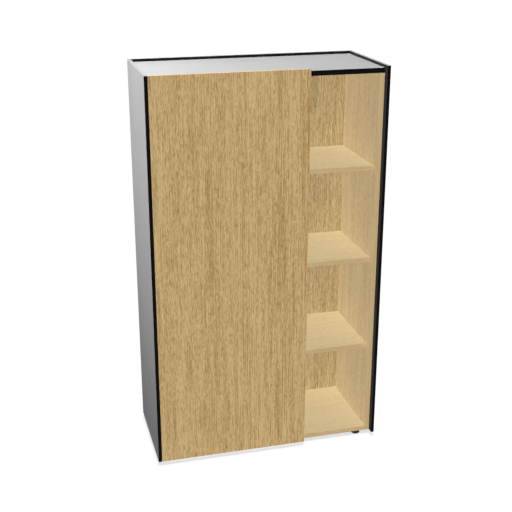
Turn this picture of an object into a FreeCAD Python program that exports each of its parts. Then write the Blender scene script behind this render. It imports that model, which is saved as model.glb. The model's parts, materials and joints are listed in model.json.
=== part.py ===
import FreeCAD, Part
import os
from FreeCAD import Vector

# Wardrobe: two handleless doors over the left two thirds, an open shelf column on the right third.
# Millimetres. X is to the right, Y goes from the front to the back, Z is up.
# The origin is on the floor, under the middle of the case.

# Overall size
width = 1200
depth = 548
foot_height = 20
panel_height = 2012
column_count = 3

# Boards
outer_thickness = 16
board = 25
door_thickness = 22
back_thickness = 8
band_thickness = 1
edge_round = 0.6

# Where the boards stand
door_zone = 34
rim_height = 14
back_inset = 7.5
groove_depth = 8
groove_clearance = 0.1
groove_end_clearance = 1
shelf_setback = 26
shelf_end_clearance = 0.5
shelf_back_clearance = 0.3
hat_space = 340
shelf_count = 3

# Doors
door_side_gap = 2.5
door_middle_gap = 3
column_reveal = 1.5

# Door hinges: a pin behind the front face of the leaf, near its outer edge
hinge_count = 4
hinge_end_distance = 130
hinge_axis_inset = 18
hinge_axis_depth = 8.5
hinge_height = 60
hinge_plate_thickness = 3
hinge_leaf_thickness = 2.5
hinge_arm_thickness = 4
hinge_free_reach = 2.5
knuckle_radius = 5
fixed_knuckle_height = 20
knuckle_gap = 0.2
door_knuckle_height = 11.8
pin_radius = 2.5
pin_head_radius = 3.5
pin_head_height = 2
pin_clearance = 0.05
leaf_clearance = 0.5
notch_clearance = 0.5
notch_end_clearance = 2

# Wood screws
screw_radius = 1.75
screw_head_radius = 3.6
screw_head_height = 2
screw_length = 18
screw_clearance = 0.05
screw_recess_depth = 1.2
screw_recess_width = 0.9
screw_recess_share = 0.6
hinge_screw_end_distance = 5
hinge_screw_side_distance = 7
small_screw_radius = 1.5
small_screw_head_radius = 2.6
small_screw_length = 15

# Push latches under the top panel
latch_offset = 42
latch_width = 20
latch_height = 16
latch_depth = 62
plunger_radius = 4
plunger_length = 40
plunger_tip_round = 1.5
plunger_clearance = 0.08
plunger_travel = 4
plunger_gap = 0.3
spring_length = 16
spring_radius = 3
spring_wire = 0.7
spring_turns = 7
latch_ear = 14
latch_ear_thickness = 5
strike_width = 20
strike_height = 32
strike_thickness = 1.5
strike_screw_distance = 10

# Rubber buffers on the front edges of the top and bottom panels
buffer_radius = 5
buffer_gap = 3.5
buffer_offset = 20
buffer_round = 1

# Shelf pins
shelf_pin_radius = 2.5
shelf_pin_depth = 9
shelf_pin_clearance = 0.05
shelf_pin_reach = 10
shelf_pin_width = 8
shelf_pin_height = 6
shelf_pin_inset = 60

# Clothes rail
rail_radius = 12.5
rail_wall = 1.5
rail_drop = 60
rail_clearance = 0.1
rail_end_clearance = 0.3
socket_radius = 24
socket_thickness = 4
socket_ring = 3
socket_depth = 12
socket_round = 1
socket_screw_count = 3
socket_screw_pitch_radius = 19.8

# Cam fittings and dowels that join the carcass
cam_radius = 7.5
cam_floor = 1
cam_distance = 34
cam_slot_width = 2
cam_slot_depth = 2
cam_bore_clearance = 0.1
bolt_radius = 3.5
bolt_thread_length = 11
bolt_clearance = 0.1
dowel_radius = 4
dowel_length = 30
dowel_seat = 12
dowel_clearance = 0.05
joint_inset = 70
dowel_spacing = 32
outer_dowel_length = 24
outer_dowel_count = 6
outer_dowel_end_distance = 150

# Screws through the outer back panel
back_screw_radius = 2
back_screw_head_radius = 4
back_screw_length = 40
back_screw_count = 5
back_screw_end_distance = 80

# Levelling feet
foot_radius = 24
foot_inset_x = 45
foot_inset_y = 27
foot_gap = 0.5
foot_chamfer = 2
foot_travel = 12
sleeve_radius = 8
sleeve_cover = 3
spindle_radius = 5
spindle_seat = 11
sleeve_clearance = 0.05
spindle_clearance = 0.05
spindle_top_clearance = 0.5
overrun = 1

# Lengths and places worked out from the sizes
cam_depth = board / 2 + bolt_radius + bolt_clearance + cam_floor
sleeve_length = board - sleeve_cover
front = -depth / 2
rear = depth / 2
floor_gap = foot_height
panel_top = floor_gap + panel_height
outer_left = -width / 2
outer_right = width / 2
inner_left = outer_left + outer_thickness
inner_right = outer_right - outer_thickness
carcass_front = front + door_zone
carcass_rear = rear - outer_thickness
top_upper = panel_top - rim_height
top_lower = top_upper - board
bottom_upper = floor_gap + board
side_left = inner_left + board
side_right = inner_right - board
column_width = (inner_right - inner_left) / column_count
middle_line = inner_left + column_width
partition_right = inner_right - column_width + column_reveal
partition_left = partition_right - board
partition_middle = (partition_left + partition_right) / 2
back_rear = carcass_rear - back_inset
back_front = back_rear - back_thickness
shelf_front = carcass_front + shelf_setback
shelf_rear = back_front - shelf_back_clearance
bay_height = (top_lower - bottom_upper - shelf_count * board) / (shelf_count + 1)
shelf_tops = [bottom_upper + (i + 1) * (bay_height + board) for i in range(shelf_count)]
hat_top = top_lower - hat_space
hat_lower = hat_top - board
door_rear = front + door_thickness
left_door_edge = inner_left + door_side_gap
left_door_free = middle_line - door_middle_gap / 2
right_door_free = middle_line + door_middle_gap / 2
right_door_edge = partition_right
rail_z = hat_lower - rail_drop
rail_y = (shelf_front + back_front) / 2
hinge_span = panel_height - 2 * hinge_end_distance
hinge_heights = [
    floor_gap + hinge_end_distance + hinge_span * i / (hinge_count - 1) for i in range(hinge_count)
]
axis_y = front + hinge_axis_depth

X = Vector(1, 0, 0)
Y = Vector(0, 1, 0)
Z = Vector(0, 0, 1)


def block(x0, x1, y0, y1, z0, z1):
    """A box between two corners, whichever way round each pair is given."""
    low = Vector(min(x0, x1), min(y0, y1), min(z0, z1))
    return Part.makeBox(abs(x1 - x0), abs(y1 - y0), abs(z1 - z0), low)


def board_block(x0, x1, y0, y1, z0, z1):
    """A board with its edges slightly rounded."""
    solid = block(x0, x1, y0, y1, z0, z1)
    return solid.makeFillet(edge_round, solid.Edges)


def banded_block(x0, x1, y0, y1, z0, z1, joint_y):
    """A board or its band, rounded everywhere but round the face at joint_y, where they are glued together."""
    solid = block(x0, x1, y0, y1, z0, z1)
    reach = min(edge_round, (y1 - y0) / 2)
    free = [e for e in solid.Edges if abs(e.CenterOfMass.y - joint_y) > reach / 2]
    return solid.makeFillet(reach, free)


def rod(radius, start, end):
    """A round rod between two points."""
    line = end - start
    return Part.makeCylinder(radius, line.Length, start, line)


def cut(solid, tools):
    """The solid less all the tools."""
    return solid.cut(Part.makeCompound(tools)) if tools else solid


def save(name, solids):
    """Writes one node, as one solid or as a group of separate solids."""
    shape = solids[0] if len(solids) == 1 else Part.makeCompound(solids)
    shape.exportStep("parts/" + name + ".step")
    print(name, len(shape.Solids), round(shape.Volume / 1000, 1), "cm3")


def wood_screw(head, direction, length, radius, head_radius):
    """A countersunk screw: head is the middle of its flat face, and direction is the way it goes in."""
    cone = Part.makeCone(head_radius, radius, screw_head_height, head, direction)
    shank = rod(radius, head + direction * screw_head_height, head + direction * length)
    solid = cone.fuse(shank)
    reach = head_radius * screw_recess_share
    across = direction.cross(Z) if abs(direction.z) < screw_recess_share else X
    other = direction.cross(across)
    for side in (across, other):
        turned = direction.cross(side)
        corner = head - side * reach - turned * screw_recess_width / 2
        points = [
            corner,
            corner + side * 2 * reach,
            corner + side * 2 * reach + turned * screw_recess_width,
            corner + turned * screw_recess_width,
            corner,
        ]
        slot = Part.Face(Part.makePolygon(points)).extrude(direction * screw_recess_depth)
        solid = solid.cut(slot)
    return solid


def screw_bore(head, direction, length, radius, head_radius):
    """The hole that a countersunk screw goes in, with its clearance, open at the head."""
    wide = head_radius + screw_clearance
    cone = Part.makeCone(wide, radius + screw_clearance, screw_head_height, head, direction)
    shank = rod(radius + screw_clearance, head, head + direction * (length + screw_clearance))
    mouth = rod(wide, head - direction * overrun, head)
    return cone.fuse(shank).fuse(mouth)


def wood_screws(heads, make):
    """Wood screws, or their holes, from the places of their heads."""
    return [make(head, way, screw_length, screw_radius, screw_head_radius) for head, way in heads]


def small_screws(heads, make):
    """Small screws, or their holes, from the places of their heads."""
    sizes = (small_screw_length, small_screw_radius, small_screw_head_radius)
    return [make(head, way, *sizes) for head, way in heads]


# Cam joints, each with a cam bolt and a dowel beside it


def cam_bolt(face, direction):
    """A bolt screwed into a board from the point face, against direction, that ends in the middle of its cam."""
    start = face - direction * bolt_thread_length
    return rod(bolt_radius, start, face + direction * cam_distance)


def cam_bolt_bore(face, direction):
    """The holes for a cam bolt, in both boards."""
    start = face - direction * (bolt_thread_length + bolt_clearance)
    end = face + direction * (cam_distance + bolt_clearance)
    return rod(bolt_radius + bolt_clearance, start, end)


def cam(mouth, direction):
    """A cam housing, with its mouth on a board's face and direction the way it goes in."""
    solid = rod(cam_radius, mouth, mouth + direction * cam_depth)
    reach = cam_radius * screw_recess_share
    half = cam_slot_width / 2
    across = direction.cross(Y)
    corner = mouth - Y * reach - across * half
    points = [
        corner,
        corner + Y * 2 * reach,
        corner + Y * 2 * reach + across * cam_slot_width,
        corner + across * cam_slot_width,
        corner,
    ]
    return solid.cut(Part.Face(Part.makePolygon(points)).extrude(direction * cam_slot_depth))


def cam_bore(mouth, direction):
    """The blind hole for a cam housing."""
    start = mouth - direction * overrun
    return rod(cam_radius + cam_bore_clearance, start, mouth + direction * (cam_depth + cam_bore_clearance))


def dowel(face, direction, length, seat):
    """A wooden dowel that crosses the joint between two boards, seat deep in the first one."""
    start = face - direction * (seat - dowel_clearance)
    solid = rod(dowel_radius, start, face + direction * (length - seat))
    rims = [e for e in solid.Edges if e.Curve.TypeId == "Part::GeomCircle"]
    return solid.makeChamfer(dowel_radius / 4, rims)


def dowel_bore(face, direction, length, seat):
    """The holes for a dowel, in both boards."""
    reach = length - seat + dowel_clearance
    return rod(dowel_radius + dowel_clearance, face - direction * seat, face + direction * reach)


class CarcassJoints:
    """All the cam bolts, cams and dowels, and the holes that they need."""

    def __init__(self):
        self.bolts = []
        self.cams = []
        self.dowels = []
        self.bores = []
        middle_x = (inner_left + side_left) / 2
        for y in self.places():
            for face_x, cam_x, way in (
                (middle_x, inner_left, X),
                (-middle_x, inner_right, -X),
                (partition_middle, partition_left, X),
            ):
                self.join(Vector(face_x, y, top_lower), -Z, Vector(cam_x, y, top_lower - cam_distance), way)
            bottom_middle = (floor_gap + bottom_upper) / 2
            for face_x, way in ((side_left, X), (side_right, -X)):
                cam_x = face_x + way.x * cam_distance
                self.join(Vector(face_x, y, bottom_middle), way, Vector(cam_x, y, floor_gap), Z)
            self.join(
                Vector(partition_middle, y, bottom_upper),
                Z,
                Vector(partition_left, y, bottom_upper + cam_distance),
                X,
            )

    def places(self):
        """The two places along the depth of the case."""
        return (carcass_front + joint_inset, back_front - joint_inset)

    def join(self, face, direction, mouth, way):
        """One cam joint across a face, and a dowel beside it."""
        self.bolts.append(cam_bolt(face, direction))
        self.cams.append(cam(mouth, way).cut(cam_bolt_bore(face, direction)))
        self.bores.append(cam_bolt_bore(face, direction))
        self.bores.append(cam_bore(mouth, way))
        beside = face + Y * dowel_spacing * (1 if face.y < 0 else -1)
        self.dowels.append(dowel(beside, direction, dowel_length, dowel_seat))
        self.bores.append(dowel_bore(beside, direction, dowel_length, dowel_seat))


def outer_dowel_places():
    """Where the dowels between the carcass sides and the outer panels lie: y and z."""
    span = top_lower - floor_gap - 2 * outer_dowel_end_distance
    lowest = floor_gap + outer_dowel_end_distance
    heights = [lowest + span * i / (outer_dowel_count - 1) for i in range(outer_dowel_count)]
    return [(y, z) for y in (carcass_front + joint_inset / 2, carcass_rear - joint_inset / 2) for z in heights]


def outer_dowels(make):
    """The dowels, or their holes, between each outer panel and its carcass side."""
    found = []
    for x, direction in ((inner_left, X), (inner_right, -X)):
        for y, z in outer_dowel_places():
            found.append(make(Vector(x, y, z), direction, outer_dowel_length, dowel_seat))
    return found


def back_screws(make):
    """The screws, or their holes, through the outer back panel into the carcass."""
    found = []
    span = top_lower - floor_gap - 2 * back_screw_end_distance
    for x in ((inner_left + side_left) / 2, (inner_right + side_right) / 2):
        for i in range(back_screw_count):
            z = floor_gap + back_screw_end_distance + span * i / (back_screw_count - 1)
            head = Vector(x, rear, z)
            found.append(make(head, -Y, back_screw_length, back_screw_radius, back_screw_head_radius))
    return found


# Shelf pins


def shelf_pin(x, way, y, z):
    """A pin in a wall at x, with a flat tongue that reaches the way of the shelf, its top at z."""
    peg_z = z - shelf_pin_height / 2
    peg = rod(shelf_pin_radius, Vector(x - way * shelf_pin_depth, y, peg_z), Vector(x, y, peg_z))
    half = shelf_pin_width / 2
    tongue = block(x, x + way * shelf_pin_reach, y - half, y + half, z - shelf_pin_height, z)
    return peg.fuse(tongue)


def shelf_pin_bore(x, way, y, z):
    """The hole for a shelf pin."""
    peg_z = z - shelf_pin_height / 2
    depth_in = shelf_pin_depth + shelf_pin_clearance
    return rod(
        shelf_pin_radius + shelf_pin_clearance,
        Vector(x - way * depth_in, y, peg_z),
        Vector(x + way * overrun, y, peg_z),
    )


def shelf_pin_places(left, right, undersides):
    """Where the pins between two walls lie: x, the way to the shelf, y and the height of their top."""
    ys = (shelf_front + shelf_pin_inset, shelf_rear - shelf_pin_inset)
    return [(x, way, y, z) for z in undersides for x, way in ((left, 1), (right, -1)) for y in ys]


column_pins = shelf_pin_places(partition_right, side_right, [z - board for z in shelf_tops])
hat_pins = shelf_pin_places(side_left, partition_left, [hat_lower])

# Clothes rail


def rail_screw_places():
    """The heads of the screws in the two rail sockets, and the way that they go in."""
    found = []
    for x, way in ((side_left, 1), (partition_left, -1)):
        for i in range(socket_screw_count):
            turn = FreeCAD.Rotation(X, 360 * i / socket_screw_count + 90)
            spot = turn.multVec(Y * socket_screw_pitch_radius)
            head = Vector(x + way * socket_thickness, rail_y, rail_z) + spot
            found.append((head, X * -way))
    return found


def rail_screws(make):
    """The screws of the rail sockets, or their holes."""
    return small_screws(rail_screw_places(), make)


def rail_socket(x, way):
    """A round flange on a wall, with a ring that holds the rail's end."""
    centre = Vector(x, rail_y, rail_z)
    seat = centre + X * way * socket_thickness
    flange = rod(socket_radius, centre, seat)
    rims = [e for e in flange.Edges if abs(e.BoundBox.XMin - e.BoundBox.XMax) < socket_round]
    flange = flange.makeFillet(socket_round, [e for e in rims if abs(e.CenterOfMass.x - seat.x) < socket_round])
    ring = rod(rail_radius + rail_clearance + socket_ring, centre, centre + X * way * socket_depth)
    bore = rod(rail_radius + rail_clearance, seat, seat + X * way * socket_depth)
    return cut(flange.fuse(ring), [bore] + rail_screws(screw_bore))


def clothes_rail():
    """A round steel tube between the sockets."""
    start = Vector(side_left + socket_thickness + rail_end_clearance, rail_y, rail_z)
    end = Vector(partition_left - socket_thickness - rail_end_clearance, rail_y, rail_z)
    inside = rod(rail_radius - rail_wall, start - X * overrun, end + X * overrun)
    return rod(rail_radius, start, end).cut(inside)


# Hinges. way is 1 where the leaf reaches to the right of its axis and -1 where it reaches to the left


class Hinge:
    """One door's hinges, with their outer edge at x."""

    def __init__(self, edge, way):
        self.edge = edge
        self.way = way
        self.axis_x = edge + way * hinge_axis_inset
        self.leaf_x = self.axis_x + way * (knuckle_radius + leaf_clearance)
        self.wall_x = self.leaf_x + way * hinge_leaf_thickness

    def axis_rod(self, radius, z0, z1):
        """A round rod on the hinge's axis."""
        return rod(radius, Vector(self.axis_x, axis_y, z0), Vector(self.axis_x, axis_y, z1))

    def frame_screw_heads(self, z):
        """The screws that hold the frame plate to the carcass."""
        x = self.edge + self.way * hinge_screw_side_distance
        reach = hinge_height / 2 - hinge_screw_end_distance
        y = carcass_front - hinge_plate_thickness
        return [(Vector(x, y, z + side * reach), Y) for side in (-1, 1)]

    def door_screw_heads(self, z):
        """The screws that hold the door plate in the leaf."""
        reach = hinge_height / 2 - hinge_screw_end_distance
        y = (axis_y + door_rear) / 2
        return [(Vector(self.leaf_x, y, z + side * reach), X * self.way) for side in (-1, 1)]

    def frame_screws(self, make):
        """All the screws in the carcass, or their holes."""
        return wood_screws([head for z in hinge_heights for head in self.frame_screw_heads(z)], make)

    def door_screws(self, make):
        """All the screws in the leaf, or their holes."""
        return wood_screws([head for z in hinge_heights for head in self.door_screw_heads(z)], make)

    def frame_plate(self, z):
        """The fixed plate on the carcass edge, with its arm and knuckle."""
        half = hinge_height / 2
        end_x = self.axis_x + self.way * hinge_free_reach
        y = carcass_front - hinge_plate_thickness
        plate = block(self.edge, end_x, y, carcass_front, z - half, z + half)
        arm_half = hinge_arm_thickness / 2
        k = fixed_knuckle_height / 2
        arm = block(self.axis_x - arm_half, self.axis_x + arm_half, axis_y, y, z - k, z + k)
        knuckle = self.axis_rod(knuckle_radius, z - k, z + k)
        bore = self.axis_rod(pin_radius + pin_clearance, z - half, z + half)
        return plate.fuse(arm).fuse(knuckle).cut(bore)

    def door_plate(self, z):
        """The plate in the leaf, with a knuckle above and one below the fixed knuckle."""
        half = hinge_height / 2
        y0 = axis_y - knuckle_radius
        plate = block(self.leaf_x, self.wall_x, y0, door_rear - leaf_clearance, z - half, z + half)
        inner = fixed_knuckle_height / 2 + knuckle_gap
        for side in (-1, 1):
            z0 = z + side * inner
            z1 = z + side * (inner + door_knuckle_height)
            web_half = hinge_arm_thickness / 2
            web = block(self.axis_x, self.leaf_x, axis_y - web_half, axis_y + web_half, z0, z1)
            knuckle = self.axis_rod(knuckle_radius, min(z0, z1), max(z0, z1))
            plate = plate.fuse(web).fuse(knuckle)
        return plate.cut(self.axis_rod(pin_radius + pin_clearance, z - half, z + half))

    def pin(self, z):
        """The hinge pin, with a head on top."""
        reach = fixed_knuckle_height / 2 + knuckle_gap + door_knuckle_height
        head_z = z + reach + knuckle_gap
        head = self.axis_rod(pin_head_radius, head_z, head_z + pin_head_height)
        return self.axis_rod(pin_radius, z - reach, head_z).fuse(head)

    def notch(self, z):
        """The space in the leaf's outer rear corner that a hinge turns in."""
        half = hinge_height / 2 + notch_end_clearance
        y0 = axis_y - knuckle_radius - notch_clearance
        return block(self.edge - self.way * overrun, self.wall_x, y0, door_rear + overrun, z - half, z + half)


left_hinge = Hinge(left_door_edge, 1)
right_hinge = Hinge(right_door_edge, -1)


# Push latches


class Latch:
    """One push latch under the top panel, with its plunger on the line x."""

    def __init__(self, x):
        self.x = x
        self.z = top_lower - latch_height / 2
        self.tip = door_rear + plunger_gap + strike_thickness
        self.plunger_rear = self.tip + plunger_length
        self.spring_rear = self.plunger_rear + spring_length

    def line(self, radius, y0, y1):
        """A round rod on the plunger's axis."""
        return rod(radius, Vector(self.x, y0, self.z), Vector(self.x, y1, self.z))

    def screws(self, make):
        """The two screws up into the top panel, or their holes."""
        y = carcass_front + latch_depth - latch_ear / 2
        side = (latch_width + latch_ear) / 2
        z = top_lower - latch_ear_thickness
        return small_screws([(Vector(self.x + s * side, y, z), Z) for s in (-1, 1)], make)

    def strike_screws(self, make):
        """The two screws through the strike plate into the leaf, or their holes."""
        y = door_rear + strike_thickness
        places = [Vector(self.x, y, self.z + s * strike_screw_distance) for s in (-1, 1)]
        return small_screws([(place, -Y) for place in places], make)

    def housing(self):
        """The housing, with a bore for the plunger and two ears for screws."""
        half = latch_width / 2
        y1 = carcass_front + latch_depth
        body = block(self.x - half, self.x + half, carcass_front, y1, top_lower - latch_height, top_lower)
        body = body.makeFillet(edge_round, body.Edges)
        reach = half + latch_ear
        ear_z = top_lower - latch_ear_thickness
        ears = block(self.x - reach, self.x + reach, y1 - latch_ear, y1, ear_z, top_lower)
        bore = self.line(plunger_radius + plunger_clearance, carcass_front - overrun, self.spring_rear)
        return cut(body.fuse(ears), [bore] + self.screws(screw_bore))

    def plunger(self):
        """The sliding plunger, with a rounded tip."""
        solid = self.line(plunger_radius, self.tip, self.plunger_rear)
        tip = [e for e in solid.Edges if e.BoundBox.YMax < self.tip + plunger_tip_round]
        return solid.makeFillet(plunger_tip_round, tip)

    def spring(self):
        """The spring behind the plunger: a wire along a helix."""
        pitch = (spring_length - 2 * spring_wire) / spring_turns
        mean = spring_radius - spring_wire / 2
        helix = Part.makeHelix(pitch, pitch * spring_turns, mean)
        section = Part.Wire(Part.makeCircle(spring_wire / 2, Vector(mean, 0, 0), Y))
        coil = Part.Wire(helix.Edges).makePipeShell([section], True, True)
        coil.rotate(Vector(0, 0, 0), X, -90)
        coil.translate(Vector(self.x, self.plunger_rear + spring_wire, self.z))
        return coil

    def strike(self):
        """The steel plate on the leaf that the plunger pushes."""
        half = strike_width / 2
        tall = strike_height / 2
        z = self.z
        y1 = door_rear + strike_thickness
        plate = banded_block(self.x - half, self.x + half, door_rear, y1, z - tall, z + tall, door_rear)
        return cut(plate, self.strike_screws(screw_bore))


left_latch = Latch(middle_line - latch_offset)
right_latch = Latch(middle_line + latch_offset)


# Levelling feet


class Foot:
    """One foot with its spindle and sleeve, at x and y."""

    def __init__(self, x, y):
        self.x = x
        self.y = y

    def turned(self, radius, z0, z1):
        """A round rod on the foot's axis."""
        return rod(radius, Vector(self.x, self.y, z0), Vector(self.x, self.y, z1))

    def cup(self):
        """The round black cup that stands on the floor."""
        solid = self.turned(foot_radius, 0, foot_height - foot_gap)
        rim = [e for e in solid.Edges if e.BoundBox.ZMax < foot_chamfer]
        solid = solid.makeChamfer(foot_chamfer, rim)
        top = foot_height - foot_gap
        return solid.cut(self.turned(spindle_radius + spindle_clearance, top - spindle_seat, top + overrun))

    def spindle(self):
        """The levelling screw, seated in the cup."""
        seat = foot_height - foot_gap - spindle_seat
        return self.turned(spindle_radius, seat, floor_gap + sleeve_length - spindle_top_clearance)

    def sleeve(self):
        """The threaded sleeve in the bottom panel."""
        top = floor_gap + sleeve_length
        outer = self.turned(sleeve_radius, floor_gap, top)
        return outer.cut(self.turned(spindle_radius + spindle_clearance, floor_gap - overrun, top + overrun))

    def bore(self):
        """The hole for the sleeve."""
        top = floor_gap + sleeve_length + sleeve_clearance
        return self.turned(sleeve_radius + sleeve_clearance, floor_gap - overrun, top)


foot_front = carcass_front + foot_inset_y
foot_rear = carcass_rear - foot_inset_y - foot_radius
feet = {
    "front_left": Foot(side_left + foot_inset_x, foot_front),
    "front_right": Foot(side_right - foot_inset_x, foot_front),
    "rear_left": Foot(side_left + foot_inset_x, foot_rear),
    "rear_right": Foot(side_right - foot_inset_x, foot_rear),
}


# Boards


def back_groove(x0, x1, z0, z1):
    """The groove that holds the back panel, as a box."""
    return block(x0, x1, back_front - groove_clearance, back_rear + groove_clearance, z0, z1)


def outer_panel(x0, x1):
    """An outer side panel, behind its edge band."""
    y0 = front + band_thickness
    solid = banded_block(x0, x1, y0, rear, floor_gap, panel_top, y0)
    return cut(solid, outer_dowels(dowel_bore))


def edge_band(x0, x1):
    """The band on an outer side panel's front edge."""
    y1 = front + band_thickness
    return banded_block(x0, x1, front, y1, floor_gap, panel_top, y1)


def side_panel(x0, x1, inner, bores):
    """A carcass side, grooved for the back panel in its inner face and bored for its fittings."""
    solid = board_block(x0, x1, carcass_front, carcass_rear, floor_gap, top_lower)
    groove = back_groove(inner - groove_depth, inner + groove_depth, floor_gap - overrun, top_lower + overrun)
    return cut(solid, [groove] + bores)


def door_leaf(x0, x1, hinge, latch):
    """A leaf, notched for its hinges and bored for their screws and the strike plate's."""
    solid = board_block(x0, x1, front, door_rear, floor_gap, panel_top)
    notches = [hinge.notch(z) for z in hinge_heights]
    return cut(solid, notches + hinge.door_screws(screw_bore) + latch.strike_screws(screw_bore))


def shelf(x0, x1, z_top):
    """A loose shelf between two walls."""
    a = x0 + shelf_end_clearance
    b = x1 - shelf_end_clearance
    return board_block(a, b, shelf_front, shelf_rear, z_top - board, z_top)


def door_buffer(x, z):
    """A round rubber stop on a front edge."""
    tip = door_rear + buffer_gap
    solid = rod(buffer_radius, Vector(x, carcass_front, z), Vector(x, tip, z))
    rim = [e for e in solid.Edges if e.BoundBox.YMax < tip + buffer_round]
    return solid.makeFillet(buffer_round, rim)


def make_outer_panels():
    """The outer panels and their bands."""
    save("outer_panel_left", [outer_panel(outer_left, inner_left)])
    save("outer_panel_right", [outer_panel(inner_right, outer_right)])
    save("edge_band_left", [edge_band(outer_left, inner_left)])
    save("edge_band_right", [edge_band(inner_right, outer_right)])
    back = board_block(inner_left, inner_right, carcass_rear, rear, floor_gap, panel_top)
    save("outer_panel_back", [cut(back, back_screws(screw_bore))])


def make_walls(joints):
    """The upright boards of the carcass."""
    pins = [shelf_pin_bore(*place) for place in column_pins + hat_pins]
    wall_bores = joints.bores + pins + rail_screws(screw_bore)
    side_bores = wall_bores + outer_dowels(dowel_bore) + back_screws(screw_bore)
    left_bores = side_bores + left_hinge.frame_screws(screw_bore)
    save("side_panel_left", [side_panel(inner_left, side_left, side_left, left_bores)])
    save("side_panel_right", [side_panel(side_right, inner_right, side_right, side_bores)])
    y1 = back_front - groove_clearance
    wall = board_block(partition_left, partition_right, carcass_front, y1, bottom_upper, top_lower)
    save("partition", [cut(wall, wall_bores + right_hinge.frame_screws(screw_bore))])
    reach = groove_depth - groove_end_clearance
    z0 = bottom_upper - reach
    z1 = top_lower + reach
    save("back_panel", [block(side_left - reach, side_right + reach, back_front, back_rear, z0, z1)])


def make_flat_boards(joints):
    """The top, the bottom and the shelves."""
    y0 = carcass_front + band_thickness
    top = banded_block(inner_left, inner_right, y0, carcass_rear, top_lower, top_upper, y0)
    groove_left = side_left - groove_depth
    groove_right = side_right + groove_depth
    groove = back_groove(groove_left, groove_right, top_lower - overrun, top_lower + groove_depth)
    latch_bores = left_latch.screws(screw_bore) + right_latch.screws(screw_bore)
    save("top_panel", [cut(top, [groove] + joints.bores + latch_bores)])
    band = banded_block(inner_left, inner_right, carcass_front, y0, top_lower, top_upper, y0)
    save("top_edge_band", [band])
    bottom = board_block(side_left, side_right, carcass_front, carcass_rear, floor_gap, bottom_upper)
    groove = back_groove(groove_left, groove_right, bottom_upper - groove_depth, bottom_upper + overrun)
    save("bottom_panel", [cut(bottom, [groove] + joints.bores + [foot.bore() for foot in feet.values()])])
    for name, z in zip(("shelf_lower", "shelf_middle", "shelf_upper"), shelf_tops):
        save(name, [shelf(partition_right, side_right, z)])
    save("hat_shelf", [shelf(side_left, partition_left, hat_top)])


def make_fittings(joints):
    """Cams, bolts, dowels, screws, pins, the rail and the buffers."""
    save("cam_bolts", joints.bolts)
    save("cam_housings", joints.cams)
    save("carcass_dowels", joints.dowels)
    save("outer_panel_dowels", outer_dowels(dowel))
    save("back_screws", back_screws(wood_screw))
    save("shelf_pins", [shelf_pin(*place) for place in column_pins])
    save("hat_shelf_pins", [shelf_pin(*place) for place in hat_pins])
    save("clothes_rail", [clothes_rail()])
    save("rail_sockets", [rail_socket(side_left, 1), rail_socket(partition_left, -1)])
    save("rail_screws", rail_screws(wood_screw))
    heights = ((floor_gap + bottom_upper) / 2, (top_lower + top_upper) / 2)
    spots = [(middle_line + side * buffer_offset, z) for side in (-1, 1) for z in heights]
    save("door_buffers", [door_buffer(x, z) for x, z in spots])


def make_door(name, x0, x1, hinge, latch):
    """One leaf with its hinges, strike plate and latch."""
    save("door_" + name, [door_leaf(x0, x1, hinge, latch)])
    frame_bores = hinge.frame_screws(screw_bore)
    door_bores = hinge.door_screws(screw_bore)
    save("hinge_frame_plates_" + name, [cut(hinge.frame_plate(z), frame_bores) for z in hinge_heights])
    save("hinge_door_plates_" + name, [cut(hinge.door_plate(z), door_bores) for z in hinge_heights])
    save("hinge_pins_" + name, [hinge.pin(z) for z in hinge_heights])
    save("hinge_frame_screws_" + name, hinge.frame_screws(wood_screw))
    save("hinge_door_screws_" + name, hinge.door_screws(wood_screw))
    save("strike_plate_" + name, [latch.strike()])
    save("strike_screws_" + name, latch.strike_screws(wood_screw))
    save("latch_plunger_" + name, [latch.plunger()])
    save("latch_spring_" + name, [latch.spring()])


def make_feet():
    """The four feet, and the sleeves in the bottom panel."""
    save("foot_sleeves", [foot.sleeve() for foot in feet.values()])
    for name, foot in feet.items():
        save("foot_cup_" + name, [foot.cup()])
        save("foot_spindle_" + name, [foot.spindle()])


def main():
    os.makedirs("parts", exist_ok=True)
    joints = CarcassJoints()
    make_outer_panels()
    make_walls(joints)
    make_flat_boards(joints)
    make_fittings(joints)
    make_door("left", left_door_edge, left_door_free, left_hinge, left_latch)
    make_door("right", right_door_free, right_door_edge, right_hinge, right_latch)
    save("latch_housings", [left_latch.housing(), right_latch.housing()])
    save("latch_screws", left_latch.screws(wood_screw) + right_latch.screws(wood_screw))
    make_feet()


main()
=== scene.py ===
import json
import math

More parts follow.
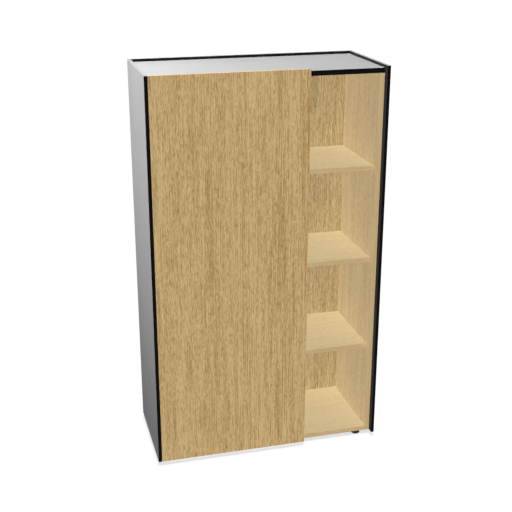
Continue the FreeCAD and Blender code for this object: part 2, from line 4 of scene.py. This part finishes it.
import bpy
import numpy as np
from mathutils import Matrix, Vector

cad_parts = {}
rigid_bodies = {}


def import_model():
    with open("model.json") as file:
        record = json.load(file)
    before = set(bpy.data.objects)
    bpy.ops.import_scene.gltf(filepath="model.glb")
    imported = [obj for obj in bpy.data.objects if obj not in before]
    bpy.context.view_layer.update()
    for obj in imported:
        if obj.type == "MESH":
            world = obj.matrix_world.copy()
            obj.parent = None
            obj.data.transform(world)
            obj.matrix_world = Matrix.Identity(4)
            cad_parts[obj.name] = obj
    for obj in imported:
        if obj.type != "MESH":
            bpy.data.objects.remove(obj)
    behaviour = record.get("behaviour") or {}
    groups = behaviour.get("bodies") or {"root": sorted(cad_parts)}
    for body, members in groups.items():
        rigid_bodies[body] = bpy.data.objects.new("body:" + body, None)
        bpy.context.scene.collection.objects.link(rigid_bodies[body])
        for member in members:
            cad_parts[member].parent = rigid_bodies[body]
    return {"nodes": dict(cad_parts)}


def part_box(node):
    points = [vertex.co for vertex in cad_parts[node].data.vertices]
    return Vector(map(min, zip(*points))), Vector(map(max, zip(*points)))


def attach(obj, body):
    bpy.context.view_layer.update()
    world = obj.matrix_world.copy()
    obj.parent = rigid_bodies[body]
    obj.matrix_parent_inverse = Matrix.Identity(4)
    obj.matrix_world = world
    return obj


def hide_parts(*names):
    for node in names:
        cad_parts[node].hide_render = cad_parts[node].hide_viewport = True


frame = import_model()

bl_info = {
    "name": "Wardrobe",
    "version": (1, 0, 0),
    "blender": (4, 5, 0),
    "location": "3D View > Sidebar > Wardrobe",
    "description": "Finishes, feet and stage for a wardrobe with two doors and an open shelf column",
    "category": "Object",
}

CORNERS = ("front_left", "front_right", "rear_left", "rear_right")
SIDES = ("left", "right")
UPPER = ("top_panel", "top_edge_band", "outer_panel_right", "outer_panel_back", "edge_band_right")
EDGE_ROUND = 0.0006


def shade(red, green, blue):
    """A colour as scene light, from its three screen values of 0 to 255."""
    found = []
    for value in (red, green, blue):
        part = value / 255
        found.append(part / 12.92 if part <= 0.04045 else ((part + 0.055) / 1.055) ** 2.4)
    return tuple(found)


def colour(name, description, default):
    """A colour that a user may change."""
    return bpy.props.FloatVectorProperty(
        name=name, description=description, subtype="COLOR", size=3, min=0, max=1, default=shade(*default)
    )


def size(name, description, default):
    """A length in metres that a user may change."""
    return bpy.props.FloatProperty(name=name, description=description, unit="LENGTH", min=0.0001, default=default)


def level(name, description, default, most=1.0):
    """A plain number that a user may change."""
    return bpy.props.FloatProperty(name=name, description=description, min=0, max=most, default=default)


class WardrobeOak(bpy.types.PropertyGroup):
    """The oak decor of the doors and the carcass."""

    door: colour("Door", "The oak of the two doors", (208, 179, 128))
    door_dark: colour("Door grain", "The grain in the doors", (159, 127, 74))
    back: colour("Back", "The oak of the back", (184, 166, 126))
    back_dark: colour("Back grain", "The grain in the back", (140, 120, 78))
    inside: colour("Inside", "The calmer oak of the walls", (185, 167, 131))
    inside_dark: colour("Inside grain", "The grain in the walls", (153, 132, 97))
    flat: colour("Shelves", "The pale oak of the shelves", (205, 188, 149))
    flat_dark: colour("Shelf grain", "The grain in the shelves", (182, 165, 126))
    edge: colour("Edges", "The bands on the front edges of the boards", (200, 173, 126))
    door_end: colour("Door ends", "The bands on the doors' upper and lower edges", (188, 167, 128))
    # Paler than the doors' other bands: partly the band's own oak tone and partly a painted highlight, so the seam
    # between the doors shows as a lit line.
    door_side_highlight: colour("Door sides", "The paler bands on the doors' upright edges", (204, 185, 140))
    pore: colour("Pores", "The dark of the flecks and pores", (106, 76, 26))
    fibre_width: size("Fibre width", "How wide one fibre of the grain is", 0.0052)
    fibre_length: size("Fibre length", "How long one fibre of the grain is", 0.05)
    pore_depth: size("Pore depth", "How deep the pores are pressed into the surface", 0.00015)
    roughness: level("Roughness", "How matt the oak is", 0.55)


class WardrobeShell(bpy.types.PropertyGroup):
    """The grey and black laminate of the outer panels."""

    grey: colour("Grey", "The outer faces and upper edges of the shell", (176, 176, 176))
    black: colour("Black", "The inner faces of the outer sides", (40, 40, 42))
    # Darker than the sides' black: painted shade on the outer back's inner face, which is the same black as the sides'
    # inner faces.
    back_black_shade: colour("Back's black", "The inner face of the outer back", (22, 22, 23))
    band: colour("Edge band", "The black bands on the front edges", (13, 12, 11))
    roughness: level("Roughness", "How matt the laminate is", 0.55)
    density: level("Reflection", "The laminate's refractive index, low for a matt face", 1.02, 3)
    band_roughness: level("Band roughness", "How matt the edge bands are", 0.35)


class WardrobeFittings(bpy.types.PropertyGroup):
    """The metal, plastic, rubber and wooden fittings."""

    zinc: colour("Zinc", "Hinges, screws and cam bolts", (178, 182, 186))
    tube: colour("Rail", "The polished clothes rail", (206, 208, 210))
    beech: colour("Beech", "The dowels", (214, 180, 140))
    light_plastic: colour("Light plastic", "The latch housings", (168, 170, 172))
    dark_plastic: colour("Dark plastic", "The feet and the plungers", (13, 13, 13))
    rubber: colour("Rubber", "The door buffers", (38, 38, 40))


class WardrobeTurned(bpy.types.PropertyGroup):
    """The turned pieces: the feet and the door buffers."""

    steps: bpy.props.IntProperty(name="Steps", description="How many steps a turned piece has round it", default=192)
    grips: bpy.props.IntProperty(name="Grips", description="How many grip ribs a foot has round it", default=32)
    grip_depth: size("Grip depth", "How deep the grooves between the grip ribs are", 0.0009)
    foot_round: size("Foot rounding", "How round a foot's lower edge is", 0.003)
    hub: size("Hub", "The radius of the raised ring round the levelling screw", 0.0105)
    dish: size("Dish", "How deep a foot's upper face is dished", 0.0012)
    bore: size("Bore", "The radius of the levelling screw's hole", 0.00505)
    bore_depth: size("Bore depth", "How deep the levelling screw goes in", 0.011)
    buffer_radius: size("Buffer radius", "The radius of a buffer's flange", 0.005)
    buffer_waist: size("Buffer waist", "The radius of a buffer's waist", 0.0037)
    buffer_flange: size("Buffer flange", "How thick a buffer's flange is", 0.0022)


class WardrobeStage(bpy.types.PropertyGroup):
    """The camera, the floor and the light."""

    camera_place: bpy.props.FloatVectorProperty(
        name="Camera", description="Where the camera stands", subtype="TRANSLATION", unit="LENGTH",
        default=(-1.2302, -4.5870, 2.7443),
    )
    camera_turn: bpy.props.FloatVectorProperty(
        name="Camera turn", description="How the camera is turned", subtype="EULER",
        default=(math.radians(70), 0, math.radians(-15)),
    )
    view_angle: bpy.props.FloatProperty(
        name="View angle", description="How wide the camera sees", subtype="ANGLE", default=math.radians(30)
    )
    floor: colour("Floor", "The pale floor", (249, 249, 249))
    floor_bounce: colour("Floor bounce", "What the floor throws back at the case", (45, 45, 45))
    floor_glow: level("Floor glow", "How much of the floor's white doesn't depend on shadow", 0.72)
    sky: level("Sky", "The light from all round", 0.08)
    fill: level("Fill light", "The even light from the front left, which also reaches the open column", 4.8, 20)
    rear: level("Rear fill", "The even fill on the right side and the back", 2.0, 20)
    down: level("Floor light", "The light straight down on the floor", 3.4, 20)
    brow: level("Edge light", "The light straight down on the left panel's upper edge", 1.8, 20)
    side: level("Side lamp", "The power of the lamp at the left", 32.7, 1000)
    high: level("High lamp", "The power of the lamp high at the left", 14.3, 1000)


class Value:
    """A number on its way through a finish. Sums, differences and products of these add their Math nodes."""

    def __init__(self, finish, socket):
        self.finish = finish
        self.socket = socket

    def math(self, operation, *others, clamp=False):
        """A Math node on this number and up to two others."""
        settings = {"operation": operation, "use_clamp": clamp}
        return self.finish.node("ShaderNodeMath", settings, dict(enumerate((self, *others))))

    def __add__(self, other):
        return self.math("ADD", other)

    def __sub__(self, other):
        return self.math("SUBTRACT", other)

    def __mul__(self, other):
        return self.math("MULTIPLY", other)

    def __rsub__(self, other):
        return (self * -1.0) + other

    __radd__ = __add__
    __rmul__ = __mul__

    def clamp(self):
        """This number held between 0 and 1."""
        return self.math("ADD", 0.0, clamp=True)

    def above(self, low, high):
        """0 below low, 1 above high, and smooth between them."""
        settings = {"interpolation_type": "SMOOTHSTEP"}
        return self.finish.node("ShaderNodeMapRange", settings, {"Value": self, "From Min": low, "From Max": high})


class Finish:
    """A material, or the sky, while its nodes are made."""

    def __init__(self, owner):
        self.owner = owner
        owner.use_nodes = True
        self.tree = owner.node_tree
        self.tree.nodes.clear()
        self.coordinates = self.node("ShaderNodeTexCoord", {}, {}, "Object")

    def node(self, kind, settings, inputs, output=0):
        """Adds a node: its settings first, then the numbers and links of its sockets. Gives one output."""
        made = self.tree.nodes.new(kind)
        for key, value in settings.items():
            setattr(made, key, value)
        for key, value in inputs.items():
            if isinstance(value, Value):
                self.tree.links.new(value.socket, made.inputs[key])
            else:
                made.inputs[key].default_value = value
        return Value(self, made.outputs[output]) if made.outputs else None

    def place(self, axis):
        """The coordinate along one axis, in metres."""
        return self.node("ShaderNodeSeparateXYZ", {}, {0: self.coordinates}, "XYZ".index(axis))

    def outside(self, axis, low, high):
        """1 on the two faces of a board that lie at low and high along an axis, and 0 between them."""
        place = self.place(axis)
        half = EDGE_ROUND / 2
        return place.above(high - half, high - half / 2) + (1 - place.above(low + half / 2, low + half))

    def stretched(self, spread, shift):
        """The object's coordinates, divided by the spread along each axis and moved by the shift."""
        scale = [1 / s for s in spread]
        return self.node("ShaderNodeMapping", {}, {"Vector": self.coordinates, "Scale": scale, "Location": shift})

    def noise(self, spread, shift=(0, 0, 0), detail=2.0, roughness=0.5):
        """Soft noise about 0, with features as large as the spread along each axis."""
        inputs = {"Vector": self.stretched(spread, shift), "Scale": 1.0, "Detail": detail, "Roughness": roughness}
        return self.node("ShaderNodeTexNoise", {}, inputs) - 0.5

    def cells(self, spread, shift=(0, 0, 0)):
        """The distance to the nearest of many scattered points, in parts of the spread."""
        inputs = {"Vector": self.stretched(spread, shift), "Scale": 1.0}
        return self.node("ShaderNodeTexVoronoi", {}, inputs, "Distance")

    def mix(self, first, second, share):
        """A colour between two, by a share."""
        a, b = (v if isinstance(v, Value) else (*v, 1.0) for v in (first, second))
        return self.node("ShaderNodeMix", {"data_type": "RGBA"}, {0: share, 6: a, 7: b}, 2)

    def bump(self, height, distance, strength=1.0):
        """A normal that follows a height of 0 to 1, which is as deep as the distance."""
        return self.node("ShaderNodeBump", {}, {"Height": height, "Distance": distance, "Strength": strength})

    def surface(self, gloss=0.3, **inputs):
        """Ends the material in a Principled surface and gives the material. gloss is its specular level."""
        named = {key.replace("_", " "): value for key, value in inputs.items()}
        named["Specular IOR Level"] = gloss
        shader = self.node("ShaderNodeBsdfPrincipled", {}, named)
        self.node("ShaderNodeOutputMaterial", {}, {0: shader})
        return self.owner


def finish_named(name):
    """An empty material to work on."""
    return Finish(bpy.data.materials.new(name))


def spread(along, across, length):
    """A feature's size along each axis, long along one of them."""
    return [length if axis == along else across for axis in "XYZ"]


def oak_grain(finish, settings, along, seed, coarse=1.0):
    """The oak's grain and its flecks, as numbers of 0 to 1. coarse widens the fibres of a calmer board.

    The grain is the sum of slow bands, streaks, long lines and short fibres, which are noise stretched along
    it. The flecks are the peaks of a shorter noise, and the pores are stretched spots, mostly in the flecks.
    """
    width = settings.fibre_width * coarse
    length = settings.fibre_length * coarse
    shift = (seed * 3.1, seed * 1.7, seed * 2.3)
    bands = finish.noise(spread(along, width * 11, length * 30), shift, 1.0)
    streaks = finish.noise(spread(along, width * 3.0, length * 8.0), shift, 2.0)
    lines = finish.noise(spread(along, width * 0.42, length * 6.0), shift, 1.0)
    fibres = finish.noise(spread(along, width * 0.4, length * 0.62), shift, 2.0, 0.8)
    flecks = finish.noise(spread(along, width * 0.4, length * 0.55), shift, 1.0).above(0.12, 0.2)
    pores = 1 - finish.cells(spread(along, width * 0.4, length * 0.3), shift).above(0.14, 0.32)
    grain = (bands * 1.0 + streaks * 0.3 + lines * 3.2 + fibres * 4.9 + 0.33).clamp()
    return grain, (flecks * 0.7 + flecks * pores * 0.3 + pores * grain * 0.25).clamp()


def oak(name, settings, ground, dark, along, seed, strength=1.0, coarse=1.0, banded=None):
    """Gives a board its oak, with the grain along one axis. banded gives the colours of its end faces by axis."""
    finish = finish_named("oak_" + name)
    grain, flecks = oak_grain(finish, settings, along, seed, coarse)
    base = finish.mix(finish.mix(ground, dark, grain * strength), settings.pore, flecks * strength * 0.85)
    low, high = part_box(name)
    for axis, tint in (banded or {}).items():
        way = "X" if axis == "Z" else along
        across, _ = oak_grain(finish, settings, way, seed + 5)
        band = finish.mix(tint, [c * 0.78 for c in tint], across * 0.8)
        place = "XYZ".index(axis)
        base = finish.mix(base, band, finish.outside(axis, low[place], high[place]))
    normal = finish.bump(1 - flecks, settings.pore_depth, 0.6)
    wear([name], finish.surface(Base_Color=base, Roughness=settings.roughness + grain * 0.08, Normal=normal))


def laminate(name, settings, inner=None, tint=None):
    """The grey laminate. inner is (axis, low, high): the face with the other tint is where that coordinate is."""
    finish = finish_named(name)
    cloud = finish.noise((0.35, 0.35, 0.35), detail=3.0)
    pearl = finish.noise((0.006, 0.006, 0.006), (3, 1, 4), 2.0)
    grit = finish.noise((0.0012, 0.0012, 0.0012), detail=1.0)
    share = (cloud * 0.5 + pearl * 0.9 + grit * 0.6 + 0.3).clamp()
    base = finish.mix(settings.grey, [c * 0.86 for c in settings.grey], share)
    if inner:
        axis, low, high = inner
        place = finish.place(axis)
        there = place.above(low, low + EDGE_ROUND / 4) * (1 - place.above(high - EDGE_ROUND / 4, high))
        if callable(tint):
            other = tint(finish)
        else:
            other = finish.mix(tint, [c * 1.5 for c in tint], (cloud * 0.8 + grit * 0.6 + 0.2).clamp())
        base = finish.mix(base, other, there)
    normal = finish.bump(grit + 0.5, 0.00004, 0.5)
    rough = settings.roughness + cloud * 0.1
    return finish.surface(0.5, Base_Color=base, Roughness=rough, IOR=settings.density, Normal=normal)


def edge_band(name, settings):
    """The black bands, with faint pale scuffs along them."""
    finish = finish_named(name)
    grit = finish.noise((0.0015, 0.0015, 0.004), detail=2.0)
    scuff = finish.noise((0.004, 0.004, 0.06), (2, 5, 1), 3.0).above(0.16, 0.3)
    base = finish.mix(settings.band, [c * 2.5 for c in settings.band], scuff * 0.4 + (grit + 0.3).clamp() * 0.3)
    normal = finish.bump(grit + 0.5, 0.00005, 0.5)
    return finish.surface(0.02, Base_Color=base, Roughness=settings.band_roughness + scuff * 0.2, Normal=normal)


def metal(name, tint, roughness, along, length=0.03):
    """A metal with fine lines along one axis and slight stains."""
    finish = finish_named(name)
    lines = finish.noise(spread(along, 0.0004, length), detail=3.0)
    stain = finish.noise((0.02, 0.02, 0.02), (1, 2, 3), 3.0)
    base = finish.mix(tint, [c * 0.72 for c in tint], (stain * 1.2 + lines * 0.6 + 0.35).clamp())
    rough = (lines * 0.25 + stain * 0.2 + roughness).clamp()
    normal = finish.bump(lines + 0.5, 0.00002, 0.6)
    return finish.surface(0.5, Base_Color=base, Metallic=1.0, Roughness=rough, Normal=normal)


def moulded(name, tint, roughness):
    """Moulded plastic or rubber with a fine grain and faint dust."""
    finish = finish_named(name)
    grain = finish.noise((0.0007, 0.0007, 0.0007), detail=2.0)
    dust = finish.noise((0.012, 0.012, 0.02), (4, 1, 2), 3.0)
    paler = [min(1, c * 1.5 + 0.01) for c in tint]
    base = finish.mix(tint, paler, (dust * 1.4 + grain * 0.4 + 0.2).clamp())
    normal = finish.bump(grain + 0.5, 0.00006, 0.7)
    return finish.surface(Base_Color=base, Roughness=(dust * 0.3 + roughness).clamp(), Normal=normal)


def beech(name, tint):
    """Beech dowels with a short fine fleck along them."""
    finish = finish_named(name)
    fleck = finish.noise((0.004, 0.0006, 0.0006), detail=2.0)
    base = finish.mix(tint, [c * 0.7 for c in tint], (fleck * 1.8 + 0.35).clamp())
    normal = finish.bump(fleck + 0.5, 0.00008, 0.6)
    return finish.surface(Base_Color=base, Roughness=fleck * 0.1 + 0.6, Normal=normal)


def rounded(centre, radius, start, end, steps=8):
    """Points on an arc round a centre, from one angle in degrees to another."""
    turns = np.radians(np.linspace(start, end, steps))
    return [(centre[0] + radius * math.cos(t), centre[1] + radius * math.sin(t)) for t in turns]


def turned(profile, steps, ripple=None):
    """The points and faces of a turned solid whose profile, of (radius, height), starts and ends on its axis.

    A point goes round by the angle a to (r cos a, r sin a, h). ripple(r, h, a) gives what r loses there.
    """
    ring = np.array(profile[1:-1])
    angle = np.linspace(0, 2 * math.pi, steps, endpoint=False)
    radius, height = (np.repeat(column[:, None], steps, 1) for column in ring.T)
    if ripple:
        radius = radius - ripple(radius, height, angle[None, :])
    grid = np.stack([radius * np.cos(angle), radius * np.sin(angle), height], 2).reshape(-1, 3)
    points = np.concatenate([grid, [(0, 0, profile[0][1]), (0, 0, profile[-1][1])]])
    faces = []
    last = (len(ring) - 1) * steps
    for i in range(steps):
        j = (i + 1) % steps
        faces.append((len(grid), j, i))
        faces.append((len(grid) + 1, last + i, last + j))
        faces += [(row + i, row + j, row + steps + j, row + steps + i) for row in range(0, last, steps)]
    return points, faces


def piece(name, parts, material, body, node):
    """One mesh of several parts, smooth but for its sharp edges, that stands for a CAD node on its body."""
    points, faces = [], []
    for part_points, part_faces in parts:
        faces += [tuple(int(v) + len(points) for v in face) for face in part_faces]
        points += [tuple(float(v) for v in point) for point in part_points]
    mesh = bpy.data.meshes.new(name)
    mesh.from_pydata(points, [], faces)
    mesh.shade_smooth()
    mesh.set_sharp_from_angle(angle=math.radians(35))
    mesh.materials.append(material)
    made = bpy.data.objects.new(name, mesh)
    bpy.context.scene.collection.objects.link(made)
    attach(made, body)
    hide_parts(node)


def wear(names, material):
    """Gives CAD nodes, or pieces, one finish."""
    for name in names:
        part = bpy.data.objects[name]
        part.data.materials.clear()
        part.data.materials.append(material)


class WARDROBE_OT_doors(bpy.types.Operator):
    """Gives both doors their oak, each with its own grain."""

    bl_idname = "wardrobe.doors"
    bl_label = "Doors"

    def execute(self, context):
        s = context.scene.wardrobe_oak
        for seed, side in enumerate(SIDES):
            # The upright edges take the paler band, which is partly a painted highlight that makes the seam between
            # the doors read as lit.
            oak("door_" + side, s, s.door, s.door_dark, "Z", 2 + seed, 1.0, banded={"X": s.door_side_highlight, "Z": s.door_end})
        return {"FINISHED"}


class WARDROBE_OT_carcass(bpy.types.Operator):
    """Gives the walls, the shelves and the back their oak."""

    bl_idname = "wardrobe.carcass"
    bl_label = "Carcass"

    def execute(self, context):
        s = context.scene.wardrobe_oak
        for seed, name in enumerate(("side_panel_left", "side_panel_right", "partition")):
            oak(name, s, s.inside, s.inside_dark, "Z", 11 + seed, 0.95, 1.0, {"Y": s.edge})
        oak("back_panel", s, s.back, s.back_dark, "Z", 24, 1.35)
        shelves = ("shelf_lower", "shelf_middle", "shelf_upper", "hat_shelf", "bottom_panel")
        for seed, name in enumerate(shelves):
            oak(name, s, s.flat, s.flat_dark, "X", 31 + seed, 0.52, 1.4, {"Y": s.edge})
        return {"FINISHED"}


class WARDROBE_OT_shell(bpy.types.Operator):
    """Gives the outer panels their grey laminate and black inner faces, and the edges their black bands."""

    bl_idname = "wardrobe.shell"
    bl_label = "Outer panels and bands"

    def execute(self, context):
        s = context.scene.wardrobe_shell
        left, right, back = (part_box("outer_panel_" + side) for side in ("left", "right", "back"))
        half = EDGE_ROUND / 2
        wear(["outer_panel_left"], laminate("laminate_left", s, ("X", left[1].x - half, 9.0), s.black))
        wear(["outer_panel_right"], laminate("laminate_right", s, ("X", -9.0, right[0].x + half), s.black))
        # The outer back's inner face takes the darker black, which is painted shade.
        wear(["outer_panel_back"], laminate("laminate_back", s, ("Y", -9.0, back[0].y + half), s.back_black_shade))
        o = context.scene.wardrobe_oak

        def under(finish):
            return finish.mix(o.inside, o.inside_dark, oak_grain(finish, o, "X", 41, 2.0)[0] * 0.5)

        under_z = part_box("top_panel")[0].z + half
        wear(["top_panel"], laminate("laminate_top", s, ("Z", -9.0, under_z), under))
        wear(["edge_band_left", "edge_band_right", "top_edge_band"], edge_band("edge_band", s))
        return {"FINISHED"}


class WARDROBE_OT_fittings(bpy.types.Operator):
    """Gives the metal, plastic, rubber and wooden fittings their finishes."""

    bl_idname = "wardrobe.fittings"
    bl_label = "Fittings"

    def execute(self, context):
        s = context.scene.wardrobe_fittings
        by_side = ("hinge_frame_plates_", "hinge_door_plates_", "strike_plate_")
        plates = [start + side for start in by_side for side in SIDES]
        wear(plates, metal("zinc_plates", s.zinc, 0.32, "Z"))
        by_side = ("hinge_pins_", "hinge_frame_screws_", "hinge_door_screws_", "strike_screws_", "latch_spring_")
        turned = [start + side for start in by_side for side in SIDES]
        turned += ["cam_bolts", "cam_housings", "back_screws", "rail_screws", "latch_screws"]
        turned += ["shelf_pins", "hat_shelf_pins", "foot_sleeves"] + ["foot_spindle_" + c for c in CORNERS]
        wear(turned, metal("zinc_turned", s.zinc, 0.28, "Y", 0.004))
        wear(["clothes_rail", "rail_sockets"], metal("rail_steel", s.tube, 0.16, "X", 0.2))
        wear(["carcass_dowels", "outer_panel_dowels"], beech("beech_dowels", s.beech))
        wear(["latch_housings"], moulded("light_plastic", s.light_plastic, 0.45))
        plungers = ["latch_plunger_" + side for side in SIDES]
        wear(plungers, moulded("dark_plastic", s.dark_plastic, 0.5))
        return {"FINISHED"}


class WARDROBE_OT_feet(bpy.types.Operator):
    """Makes the four turned feet, each with grip ribs, a dished upper face and a ring round its screw."""

    bl_idname = "wardrobe.feet"
    bl_label = "Feet"

    def execute(self, context):
        s = context.scene.wardrobe_turned
        plastic = moulded("foot_plastic", context.scene.wardrobe_fittings.dark_plastic, 0.45)
        for corner in CORNERS:
            low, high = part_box("foot_cup_" + corner)
            radius, top = (high.x - low.x) / 2, high.z
            points, faces = turned(self.profile(s, radius, top), s.steps, self.ribs(s, radius, top))
            points = points + np.array([(low.x + high.x) / 2, (low.y + high.y) / 2, 0])
            piece("foot_" + corner, [(points, faces)], plastic, "foot_" + corner, "foot_cup_" + corner)
        return {"FINISHED"}

    def profile(self, s, radius, top):
        """From the middle of the underside out to the rounded edge, up the wall, and in to the screw's bore."""
        edge = s.foot_round
        line = [(0, 0), (radius * 0.5, 0)] + rounded((radius - edge, edge), edge, -90, 0)
        line += [(radius, top * share) for share in np.linspace(0.25, 0.85, 13)]
        line += rounded((radius - edge / 2, top - edge / 2), edge / 2, 0, 90)
        floor = top - s.dish
        line += [(radius * 0.86, top), (radius * 0.8, floor), (s.hub + s.dish, floor), (s.hub, top)]
        seat = top - s.bore_depth
        return line + [(s.bore, top), (s.bore, seat), (0, seat)]

    def ribs(self, s, radius, top):
        """The grooves between the ribs: a cosine round the wall, deepest half way up and nothing at its ends."""

        def ripple(r, h, angle):
            middle = np.clip(1 - ((h / top - 0.55) / 0.3) ** 2, 0, 1)
            outside = r > radius * 0.98
            return s.grip_depth * outside * middle * (0.5 - 0.5 * np.cos(s.grips * angle)) ** 2

        return ripple


class WARDROBE_OT_buffers(bpy.types.Operator):
    """Makes the four rubber buffers, each with a flange, a waist and a domed tip."""

    bl_idname = "wardrobe.buffers"
    bl_label = "Door buffers"

    def execute(self, context):
        s = context.scene.wardrobe_turned
        low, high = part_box("door_buffers")
        wide, waist, flange, length = s.buffer_radius, s.buffer_waist, s.buffer_flange, high.y - low.y
        line = [(0, 0), (wide, 0)] + rounded((wide - flange / 2, flange / 2), flange / 2, 0, 90)
        line += [(waist, flange * 1.3), (waist, length * 0.55)]
        line += [(wide * 0.92 * math.cos(t), length * (0.6 + 0.4 * math.sin(t))) for t in np.linspace(0, 1.45, 12)]
        points, faces = turned(line + [(0, length)], s.steps // 3)
        along = np.stack([points[:, 0], -points[:, 2], points[:, 1]], 1)
        parts = []
        for x in (low.x + wide, high.x - wide):
            for z in (low.z + wide, high.z - wide):
                parts.append((along + np.array([x, high.y, z]), faces))
        rubber = moulded("buffer_rubber", context.scene.wardrobe_fittings.rubber, 0.75)
        piece("buffers", parts, rubber, "case", "door_buffers")
        return {"FINISHED"}


def lamp(name, kind, place, aim, energy, **settings):
    """A lamp at a place, turned towards its aim."""
    data = bpy.data.lights.new(name, kind)
    data.energy = energy
    for key, value in settings.items():
        setattr(data, key, value)
    made = bpy.data.objects.new(name, data)
    bpy.context.scene.collection.objects.link(made)
    made.location = place
    away = np.array(place, float) - np.array(aim, float)
    flat = math.hypot(away[0], away[1])
    made.rotation_euler = (math.atan2(flat, away[2]), 0, math.atan2(away[0], -away[1]))
    return made


def light_only(light, objects, blockers=()):
    """Keeps a lamp's light to these objects. Where blockers are given, its shadows come from them alone."""
    for kind, items in (("receiver", objects), ("blocker", blockers)):
        if items:
            group = bpy.data.collections.new(light.name + "_" + kind)
            for item in items:
                group.objects.link(item)
            setattr(light.light_linking, kind + "_collection", group)


def seen_rays(finish):
    """1 for the rays that see a thing directly, in a reflection or through glass, and 0 for its bounced light."""
    rays = {}
    for name in ("Is Camera Ray", "Is Glossy Ray", "Is Transmission Ray"):
        rays[name] = finish.node("ShaderNodeLightPath", {}, {}, name)
    return (rays["Is Camera Ray"] + rays["Is Glossy Ray"] + rays["Is Transmission Ray"]).clamp()


class WARDROBE_OT_stage(bpy.types.Operator):
    """Makes the camera, the pale floor, the sky and the lamps."""

    bl_idname = "wardrobe.stage"
    bl_label = "Stage"

    def execute(self, context):
        scene = context.scene
        s = scene.wardrobe_stage
        data = bpy.data.cameras.new("camera")
        camera = bpy.data.objects.new("camera", data)
        scene.collection.objects.link(camera)
        camera.location = s.camera_place
        camera.rotation_euler = s.camera_turn
        data.angle = s.view_angle
        scene.camera = camera
        scene.view_settings.view_transform = "Standard"
        self.sky(scene, s)
        floor = self.floor(s)
        nodes = frame["nodes"]
        left = [nodes["outer_panel_left"], nodes["edge_band_left"]]
        leaves = [nodes["door_" + side] for side in SIDES]
        upper = [nodes[name] for name in UPPER]
        others = [part for part in nodes.values() if part not in left[:1] + leaves]
        front, wide = (-0.80, -0.73, 0.72), math.radians(60)
        side = lamp("side_lamp", "AREA", (-2.6, -0.2, 1.6), (-0.6, 0.0, 2.2), s.side, size=0.5)
        high = lamp("high_lamp", "AREA", (-1.12, -0.1, 3.0), (-0.3, 0.0, 2.0), s.high, size=0.5)
        fill = lamp("fill_light", "SUN", front, (0, 0, 0), s.fill, angle=wide)
        doors = lamp("door_light", "SUN", front, (0, 0, 0), s.fill, angle=wide)
        rear = lamp("rear_light", "SUN", (1.0, 1.2, 0.12), (0, 0, 0), s.rear, angle=wide)
        down = lamp("floor_light", "SUN", (0, 0, 3.0), (0, 0, 0), s.down, angle=math.radians(1))
        brow = lamp("edge_light", "SUN", (0, 0, 3.0), (0, 0, 0), s.brow, angle=math.radians(3))
        fill.data.use_shadow = rear.data.use_shadow = False
        fill.data.cycles.use_multiple_importance_sampling = False
        light_only(side, left)
        light_only(high, left + leaves + upper)
        light_only(fill, others)
        light_only(doors, leaves, left)
        light_only(rear, others + left[:1] + leaves)
        light_only(down, [floor])
        light_only(brow, left[:1])
        return {"FINISHED"}

    def floor(self, s):
        """A wide flat floor. Rays that see it find it mostly white, and bounced light finds it greyer."""
        reach = 60.0
        mesh = bpy.data.meshes.new("floor")
        mesh.from_pydata([(-reach, -reach, 0), (reach, -reach, 0), (reach, reach, 0), (-reach, reach, 0)], [], [(0, 1, 2, 3)])
        floor = bpy.data.objects.new("floor", mesh)
        bpy.context.scene.collection.objects.link(floor)
        finish = finish_named("floor")
        seen = seen_rays(finish)
        base = finish.mix(s.floor_bounce, s.floor, seen)
        matt = finish.node("ShaderNodeBsdfDiffuse", {}, {"Color": base})
        glow = finish.node("ShaderNodeEmission", {}, {"Color": (1, 1, 1, 1), "Strength": 1.0})
        both = finish.node("ShaderNodeMixShader", {}, {0: seen * s.floor_glow, 1: matt, 2: glow})
        finish.node("ShaderNodeOutputMaterial", {}, {0: both})
        mesh.materials.append(finish.owner)
        return floor

    def sky(self, scene, s):
        """White for the rays that see it, and an even, weaker light for the rest."""
        scene.world = bpy.data.worlds.new("sky")
        finish = Finish(scene.world)
        seen = seen_rays(finish)
        strength = seen * (1 - s.sky) + s.sky
        light = finish.node("ShaderNodeBackground", {}, {"Color": (1, 1, 1, 1), "Strength": strength})
        finish.node("ShaderNodeOutputWorld", {}, {0: light})


class WARDROBE_PT_panel(bpy.types.Panel):
    """Lists the steps that dress the wardrobe."""

    bl_label = "Wardrobe"
    bl_space_type = "VIEW_3D"
    bl_region_type = "UI"
    bl_category = "Wardrobe"

    def draw(self, context):
        for operator in OPERATORS:
            self.layout.operator(operator.bl_idname)


GROUPS = {
    "wardrobe_oak": WardrobeOak,
    "wardrobe_shell": WardrobeShell,
    "wardrobe_fittings": WardrobeFittings,
    "wardrobe_turned": WardrobeTurned,
    "wardrobe_stage": WardrobeStage,
}
OPERATORS = (
    WARDROBE_OT_stage,
    WARDROBE_OT_doors,
    WARDROBE_OT_carcass,
    WARDROBE_OT_shell,
    WARDROBE_OT_fittings,
    WARDROBE_OT_feet,
    WARDROBE_OT_buffers,
)


def register():
    for name, group in GROUPS.items():
        bpy.utils.register_class(group)
        setattr(bpy.types.Scene, name, bpy.props.PointerProperty(type=group))
    for operator in OPERATORS:
        bpy.utils.register_class(operator)
    bpy.utils.register_class(WARDROBE_PT_panel)


def unregister():
    bpy.utils.unregister_class(WARDROBE_PT_panel)
    for operator in OPERATORS:
        bpy.utils.unregister_class(operator)
    for name, group in GROUPS.items():
        delattr(bpy.types.Scene, name)
        bpy.utils.unregister_class(group)


def main():
    """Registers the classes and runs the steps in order."""
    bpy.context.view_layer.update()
    register()
    for operator in OPERATORS:
        group, step = operator.bl_idname.split(".")
        getattr(getattr(bpy.ops, group), step)()


if __name__ == "__main__":
    main()
